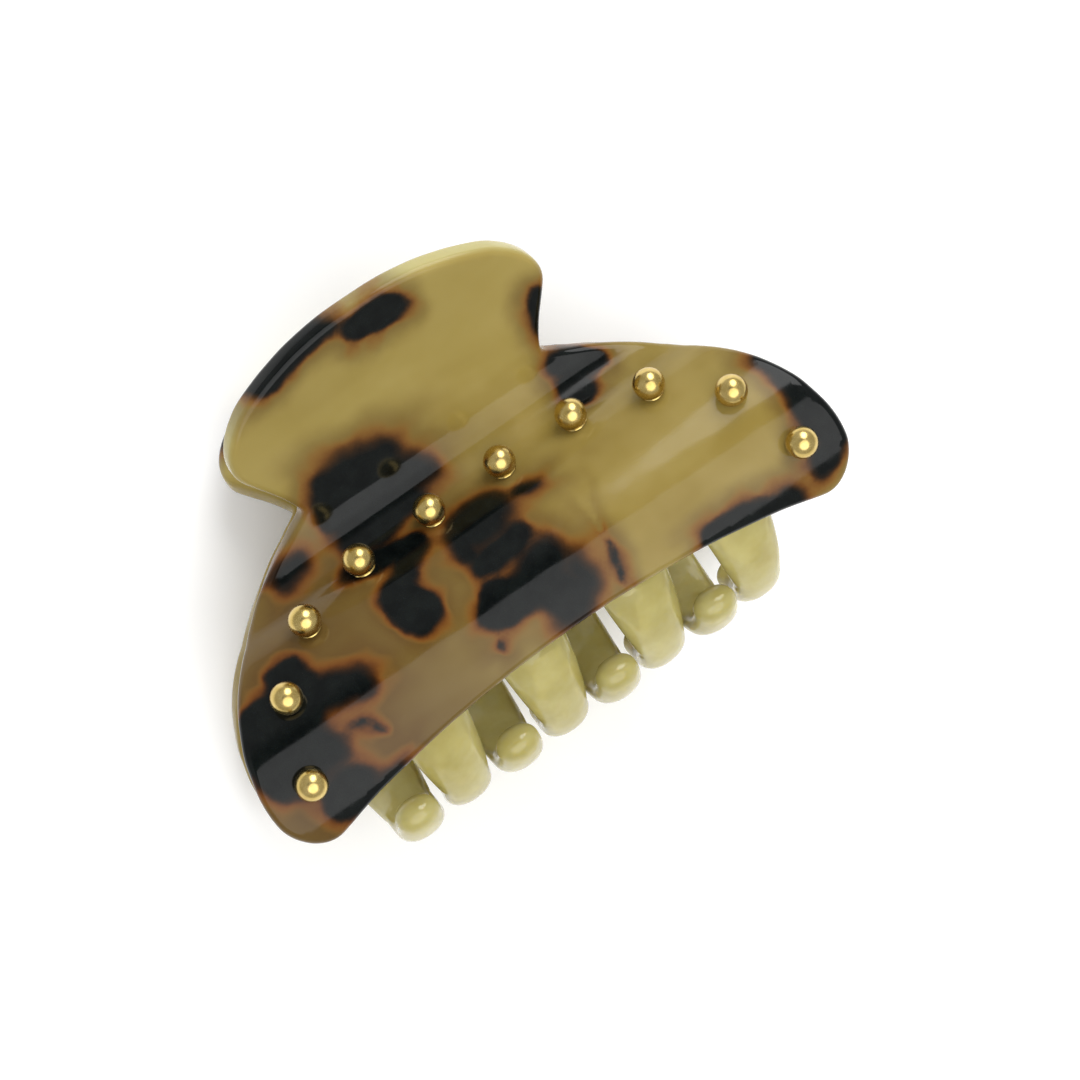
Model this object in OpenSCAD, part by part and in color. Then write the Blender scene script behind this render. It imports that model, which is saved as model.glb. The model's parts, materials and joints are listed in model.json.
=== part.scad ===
// Claw clip for hair, closed and lying on its back jaw. Millimetres.
// X runs along the hinge, Y toward the thumb tabs, Z up. Z = 0 is the surface it lies on.
// Both jaws are the same bent sheet, turned half a turn about Y from each other. Their combs
// differ only in where the teeth stand, so that the teeth pass between each other.

/* [Jaw sheet] */
// Thickness of the bent sheet
sheet_t = 3.2; // [2.6:0.1:3.6]
// Height of the valley's outer face above the hinge axis
valley_z = 7; // [6.8:0.1:8]
// Radius of the valley's outer face
valley_r = 6; // [5:0.1:7]
// Slope where the valley runs into the shoulder, in degrees
shoulder_deg = 58; // [54:1:62]
// Outer radius of the shoulder bend
shoulder_r = 17.2; // [16:0.1:19]
// Outer radius of the lower bend
lower_r = 19.6; // [18:0.1:21]
// Slope where the thumb tab leaves the valley, in degrees
tab_deg = 29; // [25:1:33]
// Radius of the tab's outward flare
tab_r = 90; // [75:1:120]

/* [Comb and teeth] */
// Thickness of the comb's band
comb_t = 2.5; // [2:0.1:3]
// Thickness of a tooth
tooth_t = 4.4; // [3:0.1:4.6]
// Width of one tooth
tooth_w = 6.8; // [5:0.1:7]
// Width of a tooth where it leaves the sheet's lower edge
root_w = 9.6; // [7:0.1:11]
// Distance between the teeth of one comb
tooth_pitch = 15.2; // [14.4:0.1:16]
// Half length of the band that carries the teeth
band_half = 33; // [31:0.5:34]
// How far a tooth runs past the lowest point of its curve, in degrees
tooth_past = 34; // [20:1:38]
// How much further the teeth reach than the sheet's own curve
tooth_reach = 1.8; // [0:0.1:2.2]
// Sideways place of the front comb's teeth; the back comb's pass half a pitch beside them
tooth_shift = 2.9; // [0.8:0.1:3.8]

/* [Studs] */
// Diameter of a stud's ball
stud_d = 4.1; // [3.4:0.1:4.6]
// Height of the ball's centre above the sheet
stud_lift = 1.7; // [1.4:0.1:2]
// Diameter of the stud's shank
shank_d = 1.6; // [1.2:0.1:2]
// Depth of the shank in the sheet
shank_len = 2.4; // [1.8:0.1:2.5]

/* [Hinge] */
// Diameter of the hinge pin
pin_d = 2; // [1.6:0.1:2.2]
// Radial clearance of the pin in the front jaw's lugs
pin_gap = 0.05; // [0.02:0.01:0.1]
// Outer diameter of a lug's eye
eye_d = 6.4; // [5.6:0.1:6.8]
// Width of one lug
lug_w = 2.6; // [2:0.1:3]
// Wire diameter of the torsion spring
wire_d = 0.9; // [0.7:0.05:1]
// Mean radius of the spring's coils
coil_r = 1.85; // [1.8:0.05:2]
// Number of full turns in the spring
turns = 7; // [5:1:9]
// Distance between the spring's turns
coil_pitch = 1.25; // [1.1:0.05:1.3]

/* [Hidden] */
$fn = 48;
big = 120;
function rad(a) = a * PI / 180;
function deg(r) = r * 180 / PI;
// Profile of the outer face, followed along the sheet from the valley over the hinge axis.
valley_y = (valley_r + shoulder_r) * sin(shoulder_deg);
cy = -valley_y;
crown = valley_z + (valley_r + shoulder_r) * (1 - cos(shoulder_deg));
cz_s = crown - shoulder_r;
cz_l = crown - lower_r;
s_tab = valley_r * rad(tab_deg);
s_sh = valley_r * rad(shoulder_deg);
s_crown = s_sh + shoulder_r * rad(shoulder_deg);
ty = valley_r * sin(tab_deg);
tz = valley_z + valley_r * (1 - cos(tab_deg));
// Slope of the sheet at distance s; beyond the crown it falls away to the lower edge.
function slope(s) =
    s > s_tab ? tab_deg + deg((s - s_tab) / tab_r) :
    s > -s_sh ? deg(s / valley_r) :
    s > -s_crown ? -(shoulder_deg - deg((-s - s_sh) / shoulder_r)) :
    deg((-s - s_crown) / lower_r);
function sheet_y(s) = let (a = slope(s))
    s > s_tab ? ty + tab_r * (sin(a) - sin(tab_deg)) :
    s > -s_sh ? valley_r * sin(a) :
    s > -s_crown ? cy - shoulder_r * sin(a) :
    cy - lower_r * sin(a);
function sheet_z(s) = let (a = slope(s))
    s > s_tab ? tz + tab_r * (cos(tab_deg) - cos(a)) :
    s > -s_sh ? valley_z + valley_r * (1 - cos(a)) :
    s > -s_crown ? cz_s + shoulder_r * cos(a) :
    cz_l + lower_r * cos(a);

function reach(s, a) = sheet_y(s) * cos(a) + sheet_z(s) * sin(a);

// Right half of the flat blank: [half width, distance along the sheet], tab tip to lower arch.
blank = [[0, 25.9], [4.5, 25.75], [9, 25], [12.2, 24.05], [14.6, 23.15], [17.85, 21.6], [19.9, 20],
    [21.2, 18.6], [22.1, 17.2], [22.6, 15.9], [22.8, 14.4], [22.5, 13.1], [21.75, 11.75],
    [20.9, 10.4], [20, 9], [19.1, 7.4], [18.4, 5.9], [18.15, 4.9], [18.7, 4.1], [21, 2.8],
    [23.8, 1.65], [25.9, 0.65], [27.7, -0.35], [29.4, -1.45], [31, -2.75], [32.5, -4.2],
    [33.9, -6.1], [35.25, -8.2], [36.35, -9.9], [37.4, -11.6], [38.25, -13.1], [39, -14.5],
    [40.2, -17.1], [41.2, -19.6], [41.8, -22], [42.3, -24.4], [42.5, -26.9], [42.35, -29.4],
    [41.9, -30.9], [41.15, -32.3], [40, -33.7], [38.5, -34.7], [36.9, -35], [35, -34.5],
    [32.9, -33.8], [29.8, -32.9], [25.1, -31.95], [21, -31.2], [17.5, -30.7], [12, -30.15],
    [6, -29.75], [0, -29.65]];
nb = len(blank);
function at(i) = i < 0 ? [-blank[-i][0], blank[-i][1]] :
    i >= nb ? [-blank[2 * nb - 2 - i][0], blank[2 * nb - 2 - i][1]] : blank[i];
function cubic(a, b, c, d, t) = 0.5 * (2 * b + (c - a) * t + (2 * a - 5 * b + 4 * c - d) * t * t
    + (3 * b - a - 3 * c + d) * t * t * t);
steps = 3;
half = [for (i = [0:nb - 2], k = [0:steps - 1]) cubic(at(i - 1), at(i), at(i + 1), at(i + 2), k / steps)];
s_wide = 14.4;
s_low = -26.9;

// Where the row of studs goes on each half: [distance from the middle, distance along the sheet].
stud_spots = [[-36.3, -26.3], [-32.9, -16.9], [-25.7, -10], [-15.95, -6.65], [-5.3, -6.4], [5.3, -6.4],
    [15.95, -6.65], [25.7, -10], [32.9, -16.9], [36.3, -26.3]];
tooth_x = [for (i = [0:3]) tooth_pitch * (i - 1.5)];
comb_r = lower_r - sheet_t;
lower_tilt = slope(-31.5);
upper_tilt = slope(21);

// Hinge axis, placed so the closed clip is centred on X = Y = 0 and lies on Z = 0.
tip_s = blank[0][1];
y_min = cy - comb_r - tooth_reach;
y_max = sheet_y(tip_s) + sheet_t * sin(slope(tip_s));
rest_s = stud_spots[0][1];
axis_y = -(y_min + y_max) / 2;
axis_z = sheet_z(rest_s) + stud_lift * cos(slope(rest_s)) + stud_d / 2;
outer_x = 9.2;
inner_x = 6.3;
pin_end = outer_x + lug_w + 0.3;

acetate = [0.62, 0.52, 0.32];
pale = [0.78, 0.77, 0.5];
gold = [0.83, 0.68, 0.32];
steel = [0.72, 0.73, 0.75];

function num(base, n) = [for (i = [1:n]) str(base, i)];

// Puts a shape drawn about the hinge axis into the clip's frame, on the front or the back jaw.
module front() { translate([0, axis_y, axis_z]) children(); }
module back() { translate([0, axis_y, axis_z]) rotate([0, 180, 0]) children(); }

module along_x(x0, x1, d) {
    translate([x0, 0, 0]) rotate([0, 90, 0]) cylinder(h = x1 - x0, d = d);
}
// Straight-walled cutter with the blank's outline, square to a sheet at slope a.
module cutter(a, s0, s1) {
    side = [for (p = half) if (p[1] <= s1 && p[1] >= s0) [p[0], reach(p[1], a)]];
    n = len(side);
    rotate([a, 0, 0]) linear_extrude(big, center = true)
        polygon(concat(side, [for (i = [n - 1:-1:0]) [-side[i][0], side[i][1]]]));
}
// Everything above (way = 1) or below (way = -1) the line across the sheet at distance s.
module beyond(a, s, way) {
    rotate([a, 0, 0]) translate([-big / 2, reach(s, a) - (way > 0 ? 0 : big - 0.02), -big / 2])
        cube([big, big, big]);
}
// Bent profile of the sheet, in Y and Z, drawn as short straight runs.
function run(s0, s1, n) = [for (i = [0:n - 1]) s0 + (s1 - s0) * i / n];
spots = concat(run(tip_s + 2, s_tab, 10), run(s_tab, 0, 11), run(0, -s_sh, 22),
    run(-s_sh, -s_crown, 26), run(-s_crown, -s_crown - lower_r * rad(45), 20));
module profile() {
    outer = [for (s = spots) [sheet_y(s), sheet_z(s)]];
    inner = [for (i = [len(spots) - 1:-1:0]) let (s = spots[i], a = slope(s))
        [sheet_y(s) + sheet_t * sin(a), sheet_z(s) - sheet_t * cos(a)]];
    rotate([90, 0, 90]) linear_extrude(big, center = true) polygon(concat(outer, inner));
}
module on_sheet(x, s) {
    translate([x, sheet_y(s), sheet_z(s)]) rotate([slope(s), 0, 0]) children();
}
module shell() {
    color(acetate) difference() {
        intersection() {
            profile();
            union() {
                intersection() {
                    cutter(upper_tilt, s_wide - 5, 30);
                    beyond(upper_tilt, s_wide, 1);
                }
                intersection() {
                    cutter(0, s_low - 5, s_wide + 5);
                    beyond(upper_tilt, s_wide, -1);
                    beyond(lower_tilt, s_low - 0.02, 1);
                }
                intersection() {
                    cutter(lower_tilt, -40, s_low + 6);
                    beyond(lower_tilt, s_low, -1);
                }
            }
        }
        for (p = stud_spots) on_sheet(p[0], p[1])
            translate([0, 0, -shank_len]) cylinder(h = shank_len + 1, d = shank_d);
    }
}
module front_shell() { front() shell(); }
module back_shell() { back() shell(); }

// The comb: a band glued inside the sheet's lower bend, with four curved teeth.
// A tooth leaves the sheet's curve at 25 degrees past the crown and reaches further out.
function ease(t) = let (k = min(1, max(0, t))) k * k * (3 - 2 * k);
function comb_pt(a, w, reach) = let (k = reach * ease((a - 115) / 65))
    [(comb_r - w + k) * cos(a), (comb_r - w) * sin(a)];
module ring(t, a0, a1, n, reach) {
    translate([0, cy, cz_l]) rotate([90, 0, 90]) linear_extrude(big, center = true)
        polygon([for (w = [0, t], i = [0:n]) comb_pt(a0 + (a1 - a0) * (w == 0 ? i : n - i) / n, w, reach)]);
}
module tooth_cutter(x) {
    tip = 180 + tooth_past - deg(tooth_w / 2 / comb_r);
    flare = [[tooth_w / 2, -40], [tooth_w / 2, comb_r * sin(158)], [root_w / 2, comb_r * sin(112)],
        [root_w / 2, 40]];
    translate([x, cy, cz_l]) {
        intersection() {
            rotate([90, 0, 90]) linear_extrude(root_w + 4, center = true)
                polygon([[0, 0], for (a = [100, 130, 160, 180, tip]) 40 * [cos(a), sin(a)]]);
            rotate([90, 0, 0]) linear_extrude(90, center = true)
                polygon(concat(flare, [for (i = [3:-1:0]) [-flare[i][0], flare[i][1]]]));
        }
        rotate([tip, 0, 0]) rotate([-90, 0, 0]) linear_extrude(40)
            polygon([for (i = [0:31]) tooth_w / 2 * [cos(i * 11.25), sin(i * 11.25)]]);
    }
}
module comb(shift) {
    color(pale) {
        intersection() {
            ring(comb_t, 90, 138, 16, 0);
            translate([0, 0.5, 0]) cutter(lower_tilt, -40, -8);
            translate([-band_half, cy - 40, -2]) cube([2 * band_half, 40, 50]);
        }
        intersection() {
            ring(tooth_t, 96, 180 + tooth_past + 5, 41, tooth_reach);
            union() {
                for (x = tooth_x) tooth_cutter(x + shift);
            }
        }
    }
}
module front_comb() { front() comb(tooth_shift); }
module back_comb() { back() comb(tooth_pitch / 2 - tooth_shift); }

// Lug: an eye on the hinge axis with a web glued under the valley.
module lug(x0, bore) {
    color(acetate) difference() {
        union() {
            along_x(x0, x0 + lug_w, eye_d);
            translate([x0, -eye_d / 2, 0]) cube([lug_w, eye_d, valley_z]);
        }
        translate([0, 0, valley_z + valley_r]) along_x(-30, 30, 2 * (valley_r + sheet_t));
        along_x(x0 - 1, x0 + lug_w + 1, bore);
    }
}
module front_lug_left() { front() lug(-outer_x - lug_w, pin_d + 2 * pin_gap); }
module front_lug_right() { front() lug(inner_x, pin_d + 2 * pin_gap); }
module back_lug_left() { back() lug(inner_x, pin_d); }
module back_lug_right() { back() lug(-outer_x - lug_w, pin_d); }

module hinge_pin() {
    front() color(steel) {
        along_x(-pin_end, pin_end, pin_d);
        for (x = [-pin_end - 0.7, pin_end]) along_x(x, x + 0.7, pin_d + 1.4);
    }
}

// Torsion spring: round wire swept along a leg, the coils and the other leg.
leg = 12.2;
lead = 27;
coil_x = coil_pitch * turns / 2;
facets = 22;
// Each leg runs tangent from the coil, clears the valley and bears on its tab's inner face.
function leg_pt(x, d, up, side) = [x, d * cos(lead) - (coil_r + up) * sin(lead),
    side * (d * sin(lead) + (coil_r + up) * cos(lead))];
wind = 360 * turns - 2 * (90 + lead) + 360;
path = concat([leg_pt(-coil_x, leg, 0.4, 1), leg_pt(-coil_x, leg * 0.54, 0, 1)],
    [for (i = [0:facets * turns]) let (f = i / (facets * turns), a = 90 + lead + wind * f)
        [-coil_x + 2 * coil_x * f, coil_r * cos(a), coil_r * sin(a)]],
    [leg_pt(coil_x, leg * 0.54, 0, -1), leg_pt(coil_x, leg, 0.4, -1)]);
np = len(path);
function unit(v) = v / norm(v);
function side_of(t) = unit(cross(t, abs(t[0]) > 0.9 ? [0, 0, 1] : [1, 0, 0]));
ring = 8;
module torsion_spring() {
    pts = [for (i = [0:np - 1])
        let (t = unit(path[min(i + 1, np - 1)] - path[max(i - 1, 0)]), u = side_of(t), v = cross(t, u))
        for (k = [0:ring - 1]) path[i] + wire_d / 2 * (cos(360 * k / ring) * u + sin(360 * k / ring) * v)];
    sides = [for (i = [0:np - 2], k = [0:ring - 1]) let (a = i * ring + k, b = i * ring + (k + 1) % ring)
        each [[a, b + ring, b], [a, a + ring, b + ring]]];
    ends = [[for (k = [0:ring - 1]) k], [for (k = [ring - 1:-1:0]) (np - 1) * ring + k]];
    front() color(steel) polyhedron(points = pts, faces = concat(sides, ends), convexity = 10);
}

// Ball stud: ball with a flat foot on the sheet and a shank pressed into it.
module stud(i) {
    p = stud_spots[i - 1];
    color(gold) on_sheet(p[0], p[1]) {
        intersection() {
            translate([0, 0, stud_lift]) sphere(d = stud_d);
            translate([-4, -4, 0]) cube([8, 8, 8]);
        }
        translate([0, 0, -shank_len]) cylinder(h = shank_len + 0.5, d = shank_d);
    }
}

front_shell();
back_shell();
front_comb();
back_comb();
front_lug_left();
front_lug_right();
back_lug_left();
back_lug_right();
hinge_pin();
torsion_spring();
for (i = [1:10]) front() stud(i);
for (i = [1:10]) back() stud(i);
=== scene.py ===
import json
import math
import random

import bpy
import bmesh
from mathutils import Matrix, Vector, noise
from mathutils.geometry import delaunay_2d_cdt


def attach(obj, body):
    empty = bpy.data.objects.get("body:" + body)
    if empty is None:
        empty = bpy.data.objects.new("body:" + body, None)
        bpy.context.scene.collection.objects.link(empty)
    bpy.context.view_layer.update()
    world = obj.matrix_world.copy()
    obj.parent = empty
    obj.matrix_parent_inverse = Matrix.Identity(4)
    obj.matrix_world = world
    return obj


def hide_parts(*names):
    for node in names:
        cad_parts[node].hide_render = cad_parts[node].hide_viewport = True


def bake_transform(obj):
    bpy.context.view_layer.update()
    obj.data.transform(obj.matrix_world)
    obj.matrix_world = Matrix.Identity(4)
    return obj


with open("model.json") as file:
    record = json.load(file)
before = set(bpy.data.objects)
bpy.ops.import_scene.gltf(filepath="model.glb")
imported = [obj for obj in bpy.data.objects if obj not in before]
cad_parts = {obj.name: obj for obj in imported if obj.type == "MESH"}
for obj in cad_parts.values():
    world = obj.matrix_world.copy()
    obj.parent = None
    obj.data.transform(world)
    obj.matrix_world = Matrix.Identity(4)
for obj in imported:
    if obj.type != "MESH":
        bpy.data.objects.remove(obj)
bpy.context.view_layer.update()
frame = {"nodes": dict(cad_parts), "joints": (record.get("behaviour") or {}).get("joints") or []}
HINGE = Vector(frame["joints"][0]["pos_m"]) * 1000.0
MM = 0.001

# ---------------------------------------------------------------- the bent sheet, in millimetres
# y and z are counted from the hinge axis; s runs along the outer face, 0 over the hinge.
# Names ending in _A are slopes in radians, in _S distances along s, and in _R radii.
SHEET_T = 3.2
VALLEY_Z, VALLEY_R = 7.0, 6.0
SHOULDER_R, LOWER_R = 17.2, 19.6
TAB_R = 90.0
SHOULDER_A, TAB_A = math.radians(58), math.radians(29)
CROWN_Y = -(VALLEY_R + SHOULDER_R) * math.sin(SHOULDER_A)
CROWN = VALLEY_Z + (VALLEY_R + SHOULDER_R) * (1 - math.cos(SHOULDER_A))
TAB_S = VALLEY_R * TAB_A
SHOULDER_S = VALLEY_R * SHOULDER_A
CROWN_S = SHOULDER_S + SHOULDER_R * SHOULDER_A
TAB_Y = VALLEY_R * math.sin(TAB_A)
TAB_Z = VALLEY_Z + VALLEY_R * (1 - math.cos(TAB_A))


def slope(s):
    """The outer face's slope at s, in radians."""
    if s > TAB_S:
        return TAB_A + (s - TAB_S) / TAB_R
    if s > -SHOULDER_S:
        return s / VALLEY_R
    if s > -CROWN_S:
        return -(SHOULDER_A - (-s - SHOULDER_S) / SHOULDER_R)
    return (-s - CROWN_S) / LOWER_R


def sheet_yz(s):
    """Where the outer face stands at s."""
    a = slope(s)
    if s > TAB_S:
        rise = TAB_R * (math.cos(TAB_A) - math.cos(a))
        return TAB_Y + TAB_R * (math.sin(a) - math.sin(TAB_A)), TAB_Z + rise
    if s > -SHOULDER_S:
        return VALLEY_R * math.sin(a), VALLEY_Z + VALLEY_R * (1 - math.cos(a))
    if s > -CROWN_S:
        return CROWN_Y - SHOULDER_R * math.sin(a), CROWN - SHOULDER_R + SHOULDER_R * math.cos(a)
    return CROWN_Y - LOWER_R * math.sin(a), CROWN - LOWER_R + LOWER_R * math.cos(a)


def on_sheet(x, s, w):
    """The point at depth w under the outer face."""
    a = slope(s)
    y, z = sheet_yz(s)
    return Vector((x, y + w * math.sin(a), z - w * math.cos(a)))


# Right half of the flat blank: (half width, distance along the sheet), tab tip to lower arch.
BLANK = [(0, 25.9), (4.5, 25.75), (9, 25), (12.2, 24.05), (14.6, 23.15), (17.85, 21.6), (19.9, 20),
         (21.2, 18.6), (22.1, 17.2), (22.6, 15.9), (22.8, 14.4), (22.5, 13.1), (21.75, 11.75),
         (20.9, 10.4), (20, 9), (19.1, 7.4), (18.4, 5.9), (18.15, 4.9), (18.7, 4.1), (21, 2.8),
         (23.8, 1.65), (25.9, 0.65), (27.7, -0.35), (29.4, -1.45), (31, -2.75), (32.5, -4.2),
         (33.9, -6.1), (35.25, -8.2), (36.35, -9.9), (37.4, -11.6), (38.25, -13.1), (39, -14.5),
         (40.2, -17.1), (41.2, -19.6), (41.8, -22), (42.3, -24.4), (42.5, -26.9), (42.35, -29.4),
         (41.9, -30.9), (41.15, -32.3), (40, -33.7), (38.5, -34.7), (36.9, -35), (35, -34.5),
         (32.9, -33.8), (29.8, -32.9), (25.1, -31.95), (21, -31.2), (17.5, -30.7), (12, -30.15),
         (6, -29.75), (0, -29.65)]
# Where the ten studs stand on the blank: (x, s).
STUDS = [(-36.3, -26.3), (-32.9, -16.9), (-25.7, -10), (-15.95, -6.65), (-5.3, -6.4), (5.3, -6.4),
         (15.95, -6.65), (25.7, -10), (32.9, -16.9), (36.3, -26.3)]


def smooth_loop(pts, spacing):
    """A closed smooth curve through pts, resampled evenly."""
    n = len(pts)
    fine = []
    for i in range(n):
        a, b, c, d = (Vector(pts[(i + k) % n]) for k in (-1, 0, 1, 2))
        for k in range(12):
            t = k / 12
            fine.append(0.5 * (2 * b + (c - a) * t + (2 * a - 5 * b + 4 * c - d) * t * t
                               + (3 * b - a - 3 * c + d) * t ** 3))
    run = [0.0]
    for i in range(len(fine)):
        run.append(run[-1] + (fine[(i + 1) % len(fine)] - fine[i]).length)
    count = max(12, int(run[-1] / spacing))
    out, j = [], 0
    for k in range(count):
        d = run[-1] * k / count
        while run[j + 1] < d:
            j += 1
        f = (d - run[j]) / max(run[j + 1] - run[j], 1e-9)
        out.append(fine[j].lerp(fine[(j + 1) % len(fine)], f))
    return out


def plate(outline, thick, radius, step, place, turns=5):
    """A flat plate with softly rounded edges, bent into place.

    radius is the edges' rounding in turns steps, and step the spacing of the points inside.
    Returns (vertices, faces, flat coordinates of each vertex).
    """
    n = len(outline)
    area = sum(outline[i - 1].x * outline[i].y - outline[i].x * outline[i - 1].y for i in range(n))
    if area < 0:
        outline = outline[::-1]
    inward = []
    for i in range(n):
        d = (outline[(i + 1) % n] - outline[i - 1]).normalized()
        inward.append(Vector((-d.y, d.x)))
    rings = []
    for k in range(turns + 1):
        t = k / turns * math.pi / 2
        rings.append((radius * (1 - math.sin(t)), radius * (1 - math.cos(t))))
    rings += [(i, thick - w) for i, w in reversed(rings)]
    flat = []
    for inset, w in rings:
        flat += [(p.x + q.x * inset, p.y + q.y * inset, w) for p, q in zip(outline, inward)]
    faces = []
    for r in range(len(rings) - 1):
        for i in range(n):
            j = (i + 1) % n
            faces.append((r * n + i, (r + 1) * n + i, (r + 1) * n + j, r * n + j))
    core = [Vector((p.x + q.x * radius, p.y + q.y * radius)) for p, q in zip(outline, inward)]
    guard = [Vector((p.x + q.x * (radius + step * 0.6), p.y + q.y * (radius + step * 0.6)))
             for p, q in zip(outline, inward)]
    lo = Vector((min(p.x for p in core), min(p.y for p in core)))
    hi = Vector((max(p.x for p in core), max(p.y for p in core)))
    grid = []
    rows = int((hi.y - lo.y) / (step * 0.866)) + 1
    for r in range(rows):
        y = lo.y + r * step * 0.866 + 0.013
        cuts = sorted(a.x + (y - a.y) * (b.x - a.x) / (b.y - a.y)
                      for a, b in zip(guard, guard[1:] + guard[:1]) if (a.y > y) != (b.y > y))
        for x0, x1 in zip(cuts[::2], cuts[1::2]):
            k0 = math.ceil(x0 / step)
            while k0 * step < x1:
                grid.append(Vector((k0 * step + (0.5 * step if r % 2 else 0) * 0.98, y)))
                k0 += 1
    grid = [g for g in grid if g.x < hi.x]
    pts = core + grid
    edges = [(i, (i + 1) % n) for i in range(n)]
    vs, _, tris, ov, _, _ = delaunay_2d_cdt(pts, edges, [], 1, 1e-6)
    top, low = {}, {}
    last = (len(rings) - 1) * n
    for i, v in enumerate(vs):
        src = [o for o in ov[i] if o < n]
        if src:
            top[i], low[i] = src[0], last + src[0]
        else:
            top[i] = len(flat)
            flat.append((v.x, v.y, 0.0))
            low[i] = len(flat)
            flat.append((v.x, v.y, thick))
    for t in tris:
        faces.append(tuple(top[i] for i in t))
        faces.append(tuple(low[i] for i in t[::-1]))
    return [place(*f) for f in flat], faces, flat


def to_row(p, back=False):
    """From the jaw's own frame, centred on the hinge, to the row frame in metres."""
    if back:
        p = Vector((-p[0], p[1], -p[2]))
    return (Vector(p) + HINGE) * MM


def tube_faces(rings, around):
    """Faces that join rings of points into a tube with both ends closed."""
    faces = []
    for i in range(rings - 1):
        for j in range(around):
            k = (j + 1) % around
            faces.append((i * around + j, i * around + k, (i + 1) * around + k, (i + 1) * around + j))
    faces.append(tuple(range(around))[::-1])
    faces.append(tuple((rings - 1) * around + j for j in range(around)))
    return faces


def lathe(profile, around):
    """A closed turned shape from (radius, height) pairs."""
    vs = []
    for r, z in profile:
        for j in range(around):
            t = 2 * math.pi * j / around
            vs.append(Vector((r * math.cos(t), r * math.sin(t), z)))
    return vs, tube_faces(len(profile), around)


def mesh_object(name, verts, faces, body=None):
    """A smooth-shaded object with outward faces, riding a body if one is named."""
    me = bpy.data.meshes.new(name)
    me.from_pydata([tuple(v) for v in verts], [], faces)
    me.validate()
    bm = bmesh.new()
    bm.from_mesh(me)
    bmesh.ops.recalc_face_normals(bm, faces=bm.faces)
    bm.to_mesh(me)
    bm.free()
    me.polygons.foreach_set("use_smooth", [True] * len(me.polygons))
    ob = bpy.data.objects.new(name, me)
    bpy.context.scene.collection.objects.link(ob)
    if body:
        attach(ob, body)
    return ob


# ---------------------------------------------------------------- tortoiseshell pattern
# Dark clouds of the front sheet: centre along X, centre along the sheet (s), half sizes, turn in
# degrees. The last number is how blurred the cloud's edge is, 0 crisp to 1 smoky.
CLOUDS = [
    (-9.5, 24.4, 6.6, 1.3, 10, 0.1), (1.2, 23.0, 4.6, 2.5, -4, 0.0), (2.2, 21.3, 2.0, 1.3, 0, 0.0),
    (20.3, 9.6, 1.9, 3.6, -14, 0.1), (-10.4, 3.0, 7.0, 4.6, -8, 0.1), (-8.6, 6.4, 5.2, 2.0, -14, 1.0),
    (-13.6, 6.6, 2.6, 2.2, 0, 0.1),
    (-4.6, 1.4, 3.6, 2.2, -22, 0.8), (-10.5, -1.5, 6.0, 2.6, 0, 0.2), (-14.6, -6.2, 4.4, 2.4, -10, 0.1),
    (-9.6, -8.6, 1.8, 2.6, -8, 0.1), (-23.6, -0.6, 3.0, 1.5, 14, 0.5), (-14.0, -15.3, 2.6, 4.7, 6, 0.0),
    (-1.0, -10.8, 3.8, 3.4, 0, 0.8), (-1.6, -16.3, 4.9, 2.3, 10, 0.1), (5.6, -11.0, 2.2, 0.9, -12, 0.3),
    (-2.0, -22.6, 6.5, 2.9, -10, 0.0), (2.0, -25.8, 3.5, 3.4, -20, 0.5), (1.8, -20.6, 3.4, 2.6, 0, 0.6),
    (9.5, -25.4, 0.42, 2.4, -6, 0.0), (-12.0, -10.4, 1.7, 2.6, 0, 0.3), (-4.8, -12.6, 1.8, 2.8, 0, 0.3),
    (5.4, -24.2, 1.5, 3.0, -8, 0.9), (-27.6, -24.2, 1.2, 0.3, -30, 0.0), (-26.2, -25.9, 0.7, 0.35, -30, 0.0),
    (-8.3, -26.0, 0.6, 0.3, 40, 0.0), (-34.6, -18.2, 6.4, 4.2, 10, 0.0), (-31.4, -13.6, 2.8, 2.3, -20, 0.0),
    (-26.6, -19.4, 4.6, 2.2, -12, 0.5), (-39.8, -21.5, 2.6, 5.2, 10, 0.1), (-34.5, -24.4, 4.6, 3.4, 0, 0.6),
    (-33.4, -30.6, 4.2, 3.0, 10, 0.1), (-29.4, -32.2, 4.6, 1.4, 14, 0.4), (40.3, -19.0, 2.1, 5.8, 14, 0.1),
    (40.4, -26.0, 2.9, 4.6, 0, 0.1), (38.4, -30.2, 2.6, 1.8, 0, 0.2), (24.6, -30.2, 5.4, 1.9, -6, 0.0),
    (30.0, -31.9, 4.0, 1.6, -10, 0.3), (21.0, 0.9, 3.9, 2.1, -28, 0.0), (19.4, -1.9, 1.8, 2.0, 0, 0.0),
]


FAR = 9.0           # mm; a cloud further off than this is left out
JOIN = 1.2          # mm; where two distances differ by less, the clouds flow together
ROUNDNESS = 2.5     # 2 is an ellipse, more is squarer


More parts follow.
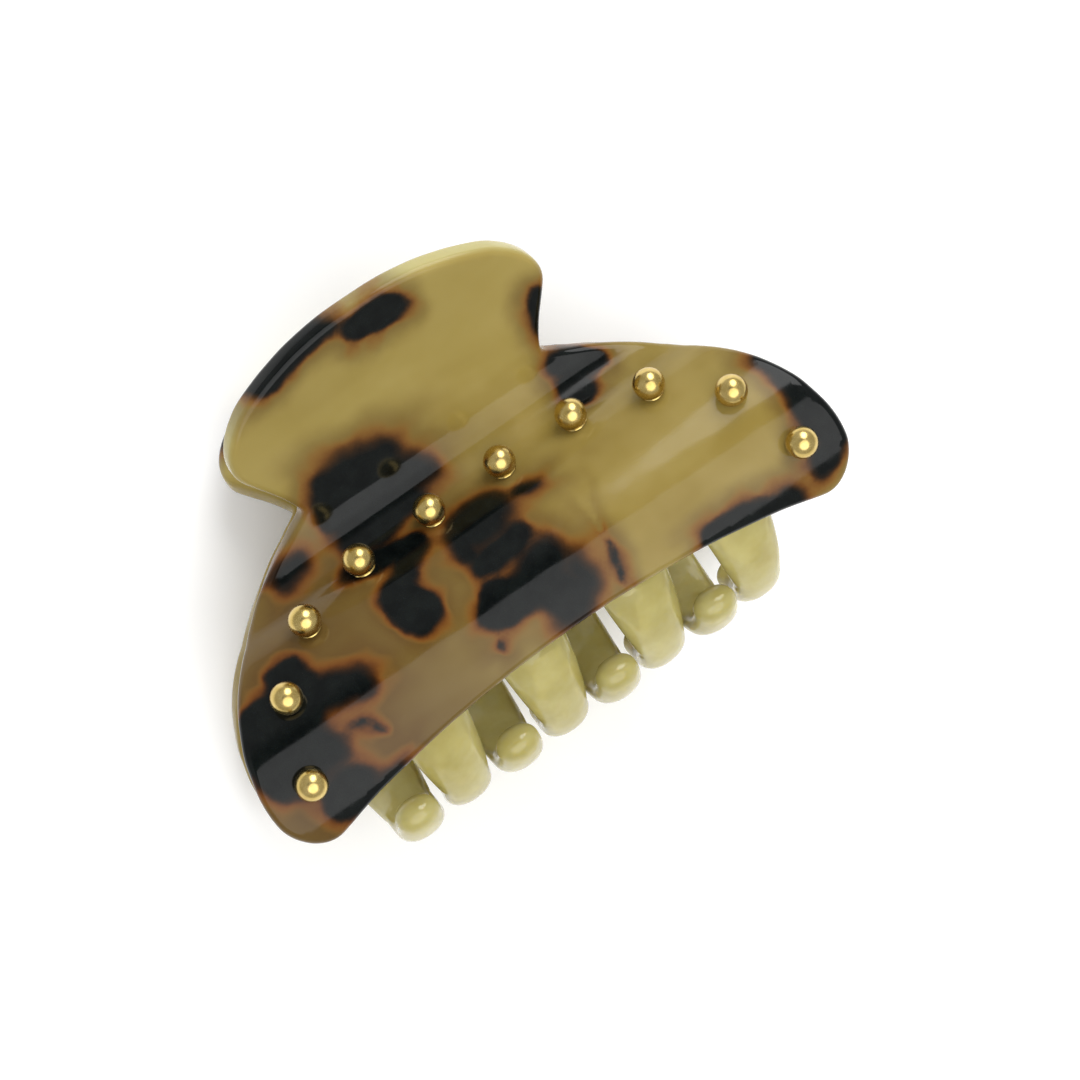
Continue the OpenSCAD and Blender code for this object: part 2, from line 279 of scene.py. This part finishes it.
def cloud_distance(x, s, clouds, seed):
    """Signed distance in mm to the nearest dark cloud, smoothly joined, and its blur."""
    p = Vector((x * 0.2 + seed, s * 0.2, seed * 0.7))
    x += noise.noise(p) * 1.2 + noise.noise(p * 2.4) * 0.3
    s += noise.noise(p + Vector((7.1, 3.3, 0))) * 1.0 + noise.noise(p * 2.4 + Vector((2, 9, 0))) * 0.28
    best, blur, weight = FAR, 0.0, 1e-6
    for cx, cs, rx, rs, turn, soft in clouds:
        t = math.radians(turn)
        u, v = x - cx, s - cs
        if max(abs(u), abs(v)) > rx + rs + FAR:
            continue
        a = (u * math.cos(t) + v * math.sin(t)) / rx
        b = (v * math.cos(t) - u * math.sin(t)) / rs
        k = (abs(a) ** ROUNDNESS + abs(b) ** ROUNDNESS) ** (1 / ROUNDNESS)
        g = math.sqrt((a / rx) ** 2 + (b / rs) ** 2) / max(math.hypot(a, b), 1e-6)
        d = (k - 1) / max(g, 1 / max(rx, rs))
        h = max(0.0, JOIN - abs(d - best)) / JOIN
        best = min(d, best) - h * h * JOIN / 4
        w = math.exp(-max(d, 0.0) * 1.4)
        blur += soft * w
        weight += w
    return max(-4.0, min(7.0, best)), blur / weight


def paint_sheet(ob, flat, clouds, seed):
    """Write the attributes that the sheet's material reads: cloud, blur and flat."""
    me = ob.data
    dist = me.attributes.new("cloud", "FLOAT", "POINT")
    soft = me.attributes.new("blur", "FLOAT", "POINT")
    pos = me.attributes.new("flat", "FLOAT_VECTOR", "POINT")
    ds, bs, ps = [], [], []
    for x, s, w in flat:
        d, k = cloud_distance(x + w * 0.2, s + w * 0.15, clouds, seed)
        ds.append(d)
        bs.append(k)
        ps += [x + seed * 31, s, w]
    dist.data.foreach_set("value", ds)
    soft.data.foreach_set("value", bs)
    pos.data.foreach_set("vector", ps)


# ---------------------------------------------------------------- materials
class Nodes:
    """A material's node tree, with a short call for each kind of node used here."""

    def __init__(self, name):
        self.m = bpy.data.materials.new(name)
        self.m.use_nodes = True
        self.t = self.m.node_tree
        self.bsdf = self.t.nodes["Principled BSDF"]

    def add(self, kind, inputs=None, **props):
        n = self.t.nodes.new(kind)
        for k, v in props.items():
            setattr(n, k, v)
        for k, v in (inputs or {}).items():
            if isinstance(v, bpy.types.NodeSocket):
                self.t.links.new(v, n.inputs[k])
            else:
                n.inputs[k].default_value = v
        return n

    def set(self, **values):
        for k, v in values.items():
            s = self.bsdf.inputs[k.replace("_", " ")]
            if isinstance(v, bpy.types.NodeSocket):
                self.t.links.new(v, s)
            else:
                s.default_value = v

    def noise(self, vec, scale, detail=3.0, rough=0.55, distortion=0.0):
        n = self.add("ShaderNodeTexNoise", {"Vector": vec, "Scale": scale, "Detail": detail,
                                            "Roughness": rough, "Distortion": distortion})
        return n.outputs["Fac"]

    def math(self, op, a, b=0.0, c=0.0):
        n = self.add("ShaderNodeMath", {0: a, 1: b, 2: c}, operation=op)
        return n.outputs[0]

    def scale(self, vec, xyz, rot=(0, 0, 0)):
        return self.add("ShaderNodeMapping", {"Vector": vec, "Rotation": rot, "Scale": xyz}).outputs[0]

    def remap(self, v, a, b, c=0.0, d=1.0, smooth=False):
        n = self.add("ShaderNodeMapRange", {"Value": v, "From Min": a, "From Max": b,
                                            "To Min": c, "To Max": d})
        if smooth:
            n.interpolation_type = "SMOOTHSTEP"
        return n.outputs[0]

    def mix(self, f, a, b):
        return self.add("ShaderNodeMix", {0: f, 6: a, 7: b}, data_type="RGBA").outputs[2]

    def ramp(self, f, stops, ease=False):
        n = self.add("ShaderNodeValToRGB", {"Fac": f})
        r = n.color_ramp
        r.interpolation = "EASE" if ease else "LINEAR"
        while len(r.elements) < len(stops):
            r.elements.new(1.0)
        for e, (p, c) in zip(r.elements, stops):
            e.position = p
            e.color = c
        return n.outputs["Color"]

    def bump(self, height, strength, distance):
        n = self.add("ShaderNodeBump", {"Height": height, "Strength": strength, "Distance": distance})
        return n.outputs["Normal"]


def rgb(r, g, b):
    """An sRGB colour in 0 to 255 as linear RGBA."""
    lin = [((c / 255 + 0.055) / 1.055) ** 2.4 if c > 10 else c / 255 / 12.92 for c in (r, g, b)]
    return tuple(lin) + (1.0,)


def tortoise(name, from_sheet=True):
    n = Nodes(name)
    if from_sheet:
        flat = n.add("ShaderNodeAttribute", attribute_name="flat").outputs["Vector"]
        dist = n.add("ShaderNodeAttribute", attribute_name="cloud").outputs["Fac"]
        blur = n.add("ShaderNodeAttribute", attribute_name="blur").outputs["Fac"]
    else:
        obj = n.add("ShaderNodeTexCoord").outputs["Object"]
        flat = n.scale(obj, (1000, 1000, 1000))
        dist = n.remap(n.noise(flat, 0.11, 2.0), 0.3, 0.7, 5.0, -3.0)
        blur = n.noise(flat, 0.2, 1.0)
    # pale acetate with long slanting streaks
    soft = n.noise(n.scale(flat, (0.03, 0.10, 0.1), (0, 0, 0.5)), 1.0, 2.0, 0.45, 0.3)
    honey = n.ramp(soft, [(0.3, rgb(134, 114, 50)), (0.47, rgb(147, 128, 63)),
                          (0.6, rgb(156, 138, 74)), (0.75, rgb(146, 126, 62))], True)
    cloud = n.ramp(n.noise(flat, 0.13, 2.0), [(0.4, (0, 0, 0, 1)), (0.7, (1, 1, 1, 1))])
    honey = n.mix(n.math("MULTIPLY", cloud, 0.4), honey, rgb(168, 150, 90))
    # browner toward the left end of the lower half
    parts = n.add("ShaderNodeSeparateXYZ", {0: flat})
    left = n.remap(parts.outputs[0], 14.0, -26.0, 0.0, 1.0, True)
    low = n.remap(parts.outputs[1], 9.0, -6.0, 0.2, 1.0, True)
    brown = n.math("MULTIPLY", low, n.math("MULTIPLY_ADD", left, 0.62, 0.26))
    honey = n.mix(brown, honey, rgb(88, 66, 34))
    # painted light: the thumb tab is made paler from the valley toward its tip, standing in for the shade in
    # the valley's crease
    painted_tab_light = n.remap(parts.outputs[1], 3.0, 13.0, 0.0, 0.5, True)
    honey = n.mix(painted_tab_light, honey, rgb(158, 141, 80))
    # painted glow: the cut end of the thumb tab is made paler, standing in for light shining through the
    # acetate's edge
    painted_edge_glow = n.math("MULTIPLY", n.remap(parts.outputs[2], 0.15, 0.9), n.remap(parts.outputs[1], 13.0, 20.0))
    honey = n.mix(n.math("MULTIPLY", painted_edge_glow, 0.6), honey, rgb(196, 190, 134))
    # smoky brown halo, then an amber rim, then the cloud itself
    wobble = n.math("SUBTRACT", n.noise(flat, 0.45, 2.0, 0.5), 0.5)
    d = n.math("MULTIPLY_ADD", wobble, 0.7, dist)
    d = n.math("MULTIPLY_ADD", n.math("SUBTRACT", n.noise(flat, 1.5, 1.0), 0.5), 0.12, d)
    reach = n.remap(blur, 0.0, 0.8, 3.4, 6.5)
    smoke = n.remap(n.math("DIVIDE", d, reach), 0.0, 1.0, 1.0, 0.0, True)
    honey = n.mix(n.math("MULTIPLY", smoke, 0.72), honey, rgb(84, 58, 26))
    width = n.remap(n.noise(flat, 0.2, 1.0), 0.38, 0.64, 0.9, 2.3)
    width = n.math("MULTIPLY_ADD", blur, 1.8, width)
    rim = n.remap(n.math("DIVIDE", d, width), -0.2, 1.0, 1.0, 0.0, True)
    rim_c = n.ramp(rim, [(0.0, rgb(150, 112, 48)), (0.4, rgb(136, 82, 28)), (0.75, rgb(98, 50, 14)),
                         (1.0, rgb(44, 22, 9))])
    colour = n.mix(n.math("MULTIPLY", rim, 0.9), honey, rim_c)
    deep = n.math("MULTIPLY_ADD", blur, 1.8, 0.6)
    dark_f = n.remap(n.math("DIVIDE", d, deep), 0.6, -0.8, 0.0, 1.0, True)
    dark_c = n.ramp(n.noise(flat, 0.4, 2.0), [(0.35, rgb(7, 10, 10)), (0.65, rgb(15, 19, 18))])
    colour = n.mix(dark_f, colour, dark_c)
    rough = n.remap(n.noise(flat, 0.9, 4.0), 0.3, 0.75, 0.06, 0.13)
    wave = n.bump(n.noise(flat, 0.10, 1.0), 0.2, 0.0005)
    n.set(Base_Color=colour, Roughness=rough, IOR=1.5, Specular_IOR_Level=0.2, Subsurface_Weight=0.1,
          Subsurface_Radius=(0.0014, 0.0009, 0.0004), Subsurface_Scale=1.0, Normal=wave)
    return n.m


def pale_acetate(name):
    n = Nodes(name)
    obj = n.scale(n.add("ShaderNodeTexCoord").outputs["Object"], (1000, 1000, 1000))
    soft = n.noise(obj, 0.16, 3.0)
    colour = n.ramp(soft, [(0.3, rgb(190, 178, 104)), (0.5, rgb(202, 191, 122)), (0.72, rgb(214, 205, 144))])
    warm = n.ramp(n.noise(obj, 0.3, 2.0), [(0.64, (0, 0, 0, 1)), (0.78, (1, 1, 1, 1))])
    colour = n.mix(n.math("MULTIPLY", warm, 0.25), colour, rgb(206, 176, 112))
    rough = n.remap(n.noise(obj, 0.8, 3.0), 0.3, 0.75, 0.05, 0.14)
    n.set(Base_Color=colour, Roughness=rough, IOR=1.48, Subsurface_Weight=0.55,
          Subsurface_Radius=(0.005, 0.0045, 0.002), Subsurface_Scale=1.0, Transmission_Weight=0.4,
          Normal=n.bump(n.noise(obj, 0.35, 2.0), 0.25, 0.0005))
    return n.m


def gold_metal(name):
    n = Nodes(name)
    obj = n.scale(n.add("ShaderNodeTexCoord").outputs["Object"], (1000, 1000, 1000))
    tint = n.ramp(n.noise(obj, 0.9, 3.0), [(0.3, rgb(190, 164, 94)), (0.7, rgb(212, 188, 122))])
    fine = n.noise(n.scale(obj, (14, 3, 9)), 1.0, 4.0)
    rough = n.remap(fine, 0.3, 0.75, 0.2, 0.3)
    n.set(Base_Color=tint, Metallic=1.0, Roughness=rough, Normal=n.bump(fine, 0.03, 0.00004))
    return n.m


def steel(name):
    n = Nodes(name)
    obj = n.scale(n.add("ShaderNodeTexCoord").outputs["Object"], (1000, 1000, 1000))
    lines = n.noise(n.scale(obj, (0.6, 9, 9)), 1.0, 5.0, 0.7)
    tint = n.ramp(lines, [(0.3, rgb(164, 165, 168)), (0.7, rgb(206, 207, 210))])
    rough = n.remap(lines, 0.3, 0.75, 0.16, 0.34)
    n.set(Base_Color=tint, Metallic=1.0, Roughness=rough, Normal=n.bump(lines, 0.08, 0.00006))
    return n.m


def floor_material():
    n = Nodes("floor_paint")
    obj = n.add("ShaderNodeTexCoord").outputs["Object"]
    tint = n.ramp(n.noise(obj, 6.0, 3.0), [(0.3, (0.94, 0.94, 0.94, 1)), (0.7, (0.97, 0.97, 0.97, 1))])
    n.set(Base_Color=tint, Roughness=0.6, Emission_Color=(1, 1, 1, 1), Emission_Strength=0.08)
    return n.m


TORT = tortoise("tortoiseshell_sheet")
TORT_LUG = tortoise("tortoiseshell_lug", False)
PALE = pale_acetate("pale_acetate")
GOLD = gold_metal("gold_plate")
STEEL = steel("bright_steel")


def dress(ob, material, slot, *nodes):
    """Give ob its one material and hide the CAD nodes that it stands for; the slot argument is not used."""
    ob.data.materials.clear()
    ob.data.materials.append(material)
    if nodes:
        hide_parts(*nodes)


# ---------------------------------------------------------------- jaws
loop = BLANK + [(-x, s) for x, s in BLANK[-2:0:-1]]
SHEET_ROUND = 0.95
face_step = 0.62
edge_step = 0.55
outline = smooth_loop(loop, edge_step)
verts, faces, flat = plate(outline, SHEET_T, SHEET_ROUND, face_step, on_sheet)

# The back sheet can't be seen in the photo, so its clouds are random.
BACK_CLOUDS = 24
rng = random.Random(11)
BACK = []
for k in range(BACK_CLOUDS):
    BACK.append((rng.uniform(-40, 40), rng.uniform(-32, 25), rng.uniform(1.4, 6.0),
                 rng.uniform(1.0, 3.8), rng.uniform(-35, 35), rng.choice((0.0, 0.1, 0.5))))

for side, back in (("front", False), ("back", True)):
    ob = mesh_object(side + "_sheet", [to_row(v, back) for v in verts], faces, side + "_jaw")
    paint_sheet(ob, flat, BACK if back else CLOUDS, 3.0 if back else 0.0)
    dress(ob, TORT, "tortoiseshell", side + "_shell")

# ---------------------------------------------------------------- combs
COMB_R = LOWER_R - SHEET_T
COMB_Z = CROWN - LOWER_R
BAND_T, BAND_HALF, BAND_START = 2.5, 33, 0.3
TOOTH_T, TOOTH_PITCH, TOOTH_SHIFT = 4.4, 15.2, 2.9
TIP = math.radians(124)
ROOT = math.radians(8)
# A tooth leaves the sheet's curve by REACH, from LEAVE degrees past the crown over LEAVE_RUN more.
REACH, LEAVE, LEAVE_RUN = 1.8, 25, 65
# Half widths: at the middle, what the root adds, and what the last part gives up.
HALF_MID, HALF_ROOT, HALF_TIP = 3.38, 1.4, 0.5
# The root's flare starts at the first height and is full after the second, in parts of the radius.
FLARE_LOW, FLARE_RUN = 0.375, 0.552
# The section and the round end are drawn with this power, where 2 is an ellipse.
FULLNESS, END_LEN = 2.15, 2.5


def ease(t):
    """0 to 1, starting and ending softly."""
    k = min(1.0, max(0.0, t))
    return k * k * (3 - 2 * k)


def comb_pt(x, a, w):
    """A point of a tooth at angle a past the crown and depth w under the comb's outer face."""
    k = REACH * ease((math.degrees(a) - LEAVE) / LEAVE_RUN)
    return Vector((x, CROWN_Y - (COMB_R - w + k) * math.sin(a), COMB_Z + (COMB_R - w) * math.cos(a)))


def edge_a(x):
    """Angle past the crown at which the sheet's lower edge stands."""
    low = [p for p in BLANK if p[1] < -29.5 and p[0] < 37][::-1]
    x = abs(x)
    s = -35.0
    for (x0, s0), (x1, s1) in zip(low, low[1:]):
        if x0 <= x <= x1:
            s = s0 + (s1 - s0) * (x - x0) / (x1 - x0)
            break
    return (-s - CROWN_S) / LOWER_R


# The band's outline: straight along the crown, and back half a millimetre short of the sheet's edge.
inner = BAND_HALF - 1
band = [(x, BAND_START) for x in range(-inner, BAND_HALF, 4)] + [(BAND_HALF, 2), (BAND_HALF, 5)]
band += [(x, edge_a(x) * COMB_R - 0.5) for x in range(inner, -BAND_HALF, -4)]
band += [(-BAND_HALF, 5), (-BAND_HALF, 2)]


def on_band(x, q, w):
    """The point at arc length q past the crown and depth w."""
    a = q / COMB_R
    return Vector((x, CROWN_Y - (COMB_R - w) * math.sin(a), COMB_Z + (COMB_R - w) * math.cos(a)))


BAND_ROUND, BAND_EDGE_STEP, BAND_FACE_STEP = 0.5, 0.7, 1.2
b_verts, b_faces, _ = plate(smooth_loop(band, BAND_EDGE_STEP), BAND_T, BAND_ROUND, BAND_FACE_STEP, on_band, 3)


def tooth(x0):
    """One tapering tooth: a rounded bar bent along the comb's curve, with a round end."""
    rows, around = 72, 36
    vs = []
    total = (TIP - ROOT) * COMB_R
    power = 2 / FULLNESS
    for i in range(rows + 1):
        # rows crowd toward the tip, where the end is round
        l = total * (1 - (1 - i / rows) ** 1.7)
        a = ROOT + l / COMB_R
        deg = math.degrees(a)
        flare = min(1.0, max(0.0, (math.cos(a) - FLARE_LOW) / FLARE_RUN))
        hw = HALF_MID + HALF_ROOT * flare - HALF_TIP * ease((deg - 85) / 35)
        ht = TOOTH_T / 2 * (0.55 + 0.45 * min(1.0, max(0.0, (deg - 8) / 24)))
        e = max(0.0, 1 - (total - l) / END_LEN)
        k = max(0.0, 1 - e ** FULLNESS) ** (1 / FULLNESS)
        for j in range(around):
            t = 2 * math.pi * j / around
            c, s = math.cos(t), math.sin(t)
            u = hw * k * math.copysign(abs(c) ** power, c)
            v = ht * k * math.copysign(abs(s) ** power, s)
            vs.append(comb_pt(x0 + u, a, ht + 0.02 - v))
    return vs, tube_faces(rows + 1, around)


def union(a, b):
    """Join b into a as one closed mesh."""
    m = a.modifiers.new("join", "BOOLEAN")
    m.operation = "UNION"
    m.solver = "EXACT"
    m.object = b
    dg = bpy.context.evaluated_depsgraph_get()
    me = bpy.data.meshes.new_from_object(a.evaluated_get(dg))
    a.modifiers.clear()
    a.data = me
    bpy.data.objects.remove(b)


# The back comb's teeth pass half a pitch beside the front comb's.
for side, back, shift in (("front", False, TOOTH_SHIFT), ("back", True, TOOTH_PITCH / 2 - TOOTH_SHIFT)):
    tv, tf = [], []
    for i in range(4):
        v, f = tooth(TOOTH_PITCH * (i - 1.5) + shift)
        tf += [tuple(k + len(tv) for k in q) for q in f]
        tv += v
    comb = mesh_object(side + "_comb_mesh", [to_row(v, back) for v in b_verts], b_faces)
    teeth = mesh_object(side + "_teeth", [to_row(v, back) for v in tv], tf)
    union(comb, teeth)
    comb.data.polygons.foreach_set("use_smooth", [True] * len(comb.data.polygons))
    comb.data.set_sharp_from_angle(angle=math.radians(50))
    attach(comb, side + "_jaw")
    dress(comb, PALE, "pale_acetate", side + "_comb")

# ---------------------------------------------------------------- studs
LIFT, BALL = 1.7, 2.05
SHANK_R, SHANK_END, COLLAR_R, BALL_FOOT = 0.8, -2.35, 1.52, 0.4
BALL_STEPS = 30
# A shank in the sheet, a thin collar on it and the ball above.
prof = [(0.05, SHANK_END), (SHANK_R - 0.1, SHANK_END), (SHANK_R, SHANK_END + 0.1), (SHANK_R, 0.0),
        (COLLAR_R - 0.1, 0.0), (COLLAR_R, 0.08), (1.5, 0.2), (1.38, 0.29), (1.28, 0.34)]
start = -math.asin((LIFT - BALL_FOOT) / BALL)
for k in range(BALL_STEPS + 1):
    a = start + (math.pi / 2 - start) * k / BALL_STEPS
    prof.append((max(BALL * math.cos(a), 0.004), LIFT + BALL * math.sin(a)))
s_verts, s_faces = lathe(prof, 48)
for i, (x, s) in enumerate(STUDS, 1):
    turn = Matrix.Rotation(slope(s), 3, "X")
    at = on_sheet(x, s, 0)
    for side, back in (("front", False), ("back", True)):
        pts = [to_row(turn @ v + at, back) for v in s_verts]
        ob = mesh_object("%s_ball_%d" % (side, i), pts, s_faces, side + "_jaw")
        ob.data.set_sharp_from_angle(angle=math.radians(50))
        dress(ob, GOLD, "gold_stud", "%s_stud_%d" % (side, i))

# ---------------------------------------------------------------- hinge
LUG_ROUND = 0.0003
for name in ("front_lug_left", "front_lug_right", "back_lug_left", "back_lug_right"):
    ob = frame["nodes"][name]
    ob.data.materials.clear()
    ob.data.materials.append(TORT_LUG)
    m = ob.modifiers.new("soft_edge", "BEVEL")
    m.width = LUG_ROUND
    m.segments = 3
    m.limit_method = "ANGLE"
    m.angle_limit = math.radians(50)

# The pin between its heads, and one head as (radius, height above its underside).
PIN_HALF, PIN_R = 12.1, 1.0
HEAD = [(0.05, 0.7), (1.0, 0.7), (1.4, 0.62), (1.65, 0.42), (1.7, 0.2), (1.66, 0.04), (1.5, 0)]
prof = [(r, -PIN_HALF - z) for r, z in HEAD] + [(PIN_R, -PIN_HALF), (PIN_R, 0)]
prof += [(r, -z) for r, z in prof[:-1][::-1]]
p_verts, p_faces = lathe(prof, 40)
ob = mesh_object("pin_rod", [to_row((v.z, v.x, v.y)) for v in p_verts], p_faces, "back_jaw")
ob.data.set_sharp_from_angle(angle=math.radians(45))
dress(ob, STEEL, "hinge_steel", "hinge_pin")

# The spring: radius of the coil, radius of the wire, turns, pitch, length and slope of its legs.
COIL_R, WIRE, TURNS, PITCH, LEG = 1.85, 0.45, 7, 1.25, 12.2
LEAD = math.radians(27)
cx = PITCH * TURNS / 2


def leg_pt(x, d, up, side):
    """A point of a spring leg: d along it, up outward from it, on the front (1) or back (-1) side."""
    return Vector((x, d * math.cos(LEAD) - (COIL_R + up) * math.sin(LEAD),
                   side * (d * math.sin(LEAD) + (COIL_R + up) * math.cos(LEAD))))


# A leg from its tip to the coil: (distance along it, how far it bends outward).
LEG_STEPS = [(LEG - 0.2, 0.38), (LEG * 0.8, 0.2), (LEG * 0.54, 0), (LEG * 0.25, 0)]
path = [leg_pt(-cx, d, up, 1) for d, up in LEG_STEPS]
wind = 2 * math.pi * TURNS - 2 * (math.pi / 2 + LEAD) + 2 * math.pi
steps = 40 * TURNS
for i in range(steps + 1):
    f = i / steps
    a = math.pi / 2 + LEAD + wind * f
    path.append(Vector((-cx + 2 * cx * f, COIL_R * math.cos(a), COIL_R * math.sin(a))))
path += [leg_pt(cx, d, up, -1) for d, up in LEG_STEPS[::-1]]
vs, around = [], 12
along_x = Vector((1, 0, 0))
for i, p in enumerate(path):
    t = (path[min(i + 1, len(path) - 1)] - path[max(i - 1, 0)]).normalized()
    u = t.cross(along_x).normalized()
    v = t.cross(u)
    r = WIRE * (0.75 if i in (0, len(path) - 1) else 1.0)
    for j in range(around):
        a = 2 * math.pi * j / around
        vs.append(p + r * (math.cos(a) * u + math.sin(a) * v))
spring = mesh_object("spring_wire", [to_row(v) for v in vs], tube_faces(len(path), around))
dress(spring, STEEL, "hinge_steel", "torsion_spring")
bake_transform(spring)

# ---------------------------------------------------------------- floor, light and camera
FLOOR_HALF = 3
corners = [(x * FLOOR_HALF, y * FLOOR_HALF, 0) for x, y in ((-1, -1), (1, -1), (1, 1), (-1, 1))]
me = bpy.data.meshes.new("floor")
me.from_pydata(corners, [], [(0, 1, 2, 3)])
floor = bpy.data.objects.new("floor", me)
bpy.context.scene.collection.objects.link(floor)
me.materials.append(floor_material())

# The camera's directions, its distance in metres and its scale in pixels per millimetre.
YAW, TILT, ROLL = math.radians(7.5), math.radians(3.09), math.radians(34.35)
DIST, SCALE, PIXELS, SENSOR = 0.330, 8.139, 1080, 36
toward = Vector((-math.sin(YAW) * math.cos(TILT), math.sin(TILT), math.cos(YAW) * math.cos(TILT)))
level = Vector((math.cos(YAW), 0, math.sin(YAW)))
upright = toward.cross(level)
right = level * math.cos(ROLL) - upright * math.sin(ROLL)
top = level * math.sin(ROLL) + upright * math.cos(ROLL)
spot = (HINGE + Vector((0, -3.83, 12.0))) * MM
aim = spot + right * 9.21 * MM - top * 6.77 * MM
cam = bpy.data.objects.new("camera", bpy.data.cameras.new("camera"))
bpy.context.scene.collection.objects.link(cam)
facing = Matrix((right, top, toward)).transposed().to_4x4()
cam.matrix_world = Matrix.Translation(aim + toward * DIST) @ facing
cam.data.sensor_width = SENSOR
cam.data.lens = SCALE * DIST / MM / PIXELS * SENSOR
cam.data.clip_start, cam.data.clip_end = 0.01, 20
bpy.context.scene.camera = cam


def softbox(name, direction, distance, size, power, tall=None):
    """A soft light facing the clip, in a direction given as the camera's right, up and toward parts."""
    light = bpy.data.lights.new(name, "AREA")
    light.shape = "ELLIPSE"
    light.size, light.size_y = size, tall or size
    light.energy = power
    ob = bpy.data.objects.new(name, light)
    bpy.context.scene.collection.objects.link(ob)
    x, y, z = (distance * v for v in direction)
    p = spot + right * x + top * y + toward * z
    ob.location = p
    ob.rotation_euler = (p - spot).to_track_quat("Z", "Y").to_euler()


softbox("window", (0.18, 0.76, 0.62), distance=0.9, size=0.56, power=5.0, tall=0.78)
softbox("low", (0.24, -0.34, 0.91), distance=1.1, size=1.4, power=10.8)

# A room that is dim straight above, where the camera stands, and brighter all round.
DIM, BRIGHT = 0.05, 0.54
DIM_WITHIN, BRIGHT_FROM = math.radians(12), math.radians(30)
world = bpy.data.worlds.new("studio")
world.use_nodes = True
tree = world.node_tree
ray = tree.nodes.new("ShaderNodeTexCoord")
dot = tree.nodes.new("ShaderNodeVectorMath")
dot.operation = "DOT_PRODUCT"
dot.inputs[1].default_value = toward
tree.links.new(ray.outputs["Generated"], dot.inputs[0])
dim = tree.nodes.new("ShaderNodeMapRange")
dim.interpolation_type = "SMOOTHSTEP"
for k, v in (("From Min", math.cos(DIM_WITHIN)), ("From Max", math.cos(BRIGHT_FROM)),
             ("To Min", DIM), ("To Max", BRIGHT)):
    dim.inputs[k].default_value = v
tree.links.new(dot.outputs["Value"], dim.inputs["Value"])
tree.nodes["Background"].inputs[0].default_value = (1, 1, 0.985, 1)
tree.links.new(dim.outputs[0], tree.nodes["Background"].inputs[1])
bpy.context.scene.world = world

bpy.context.scene.view_settings.view_transform = "Standard"
bpy.context.scene.view_settings.look = "None"
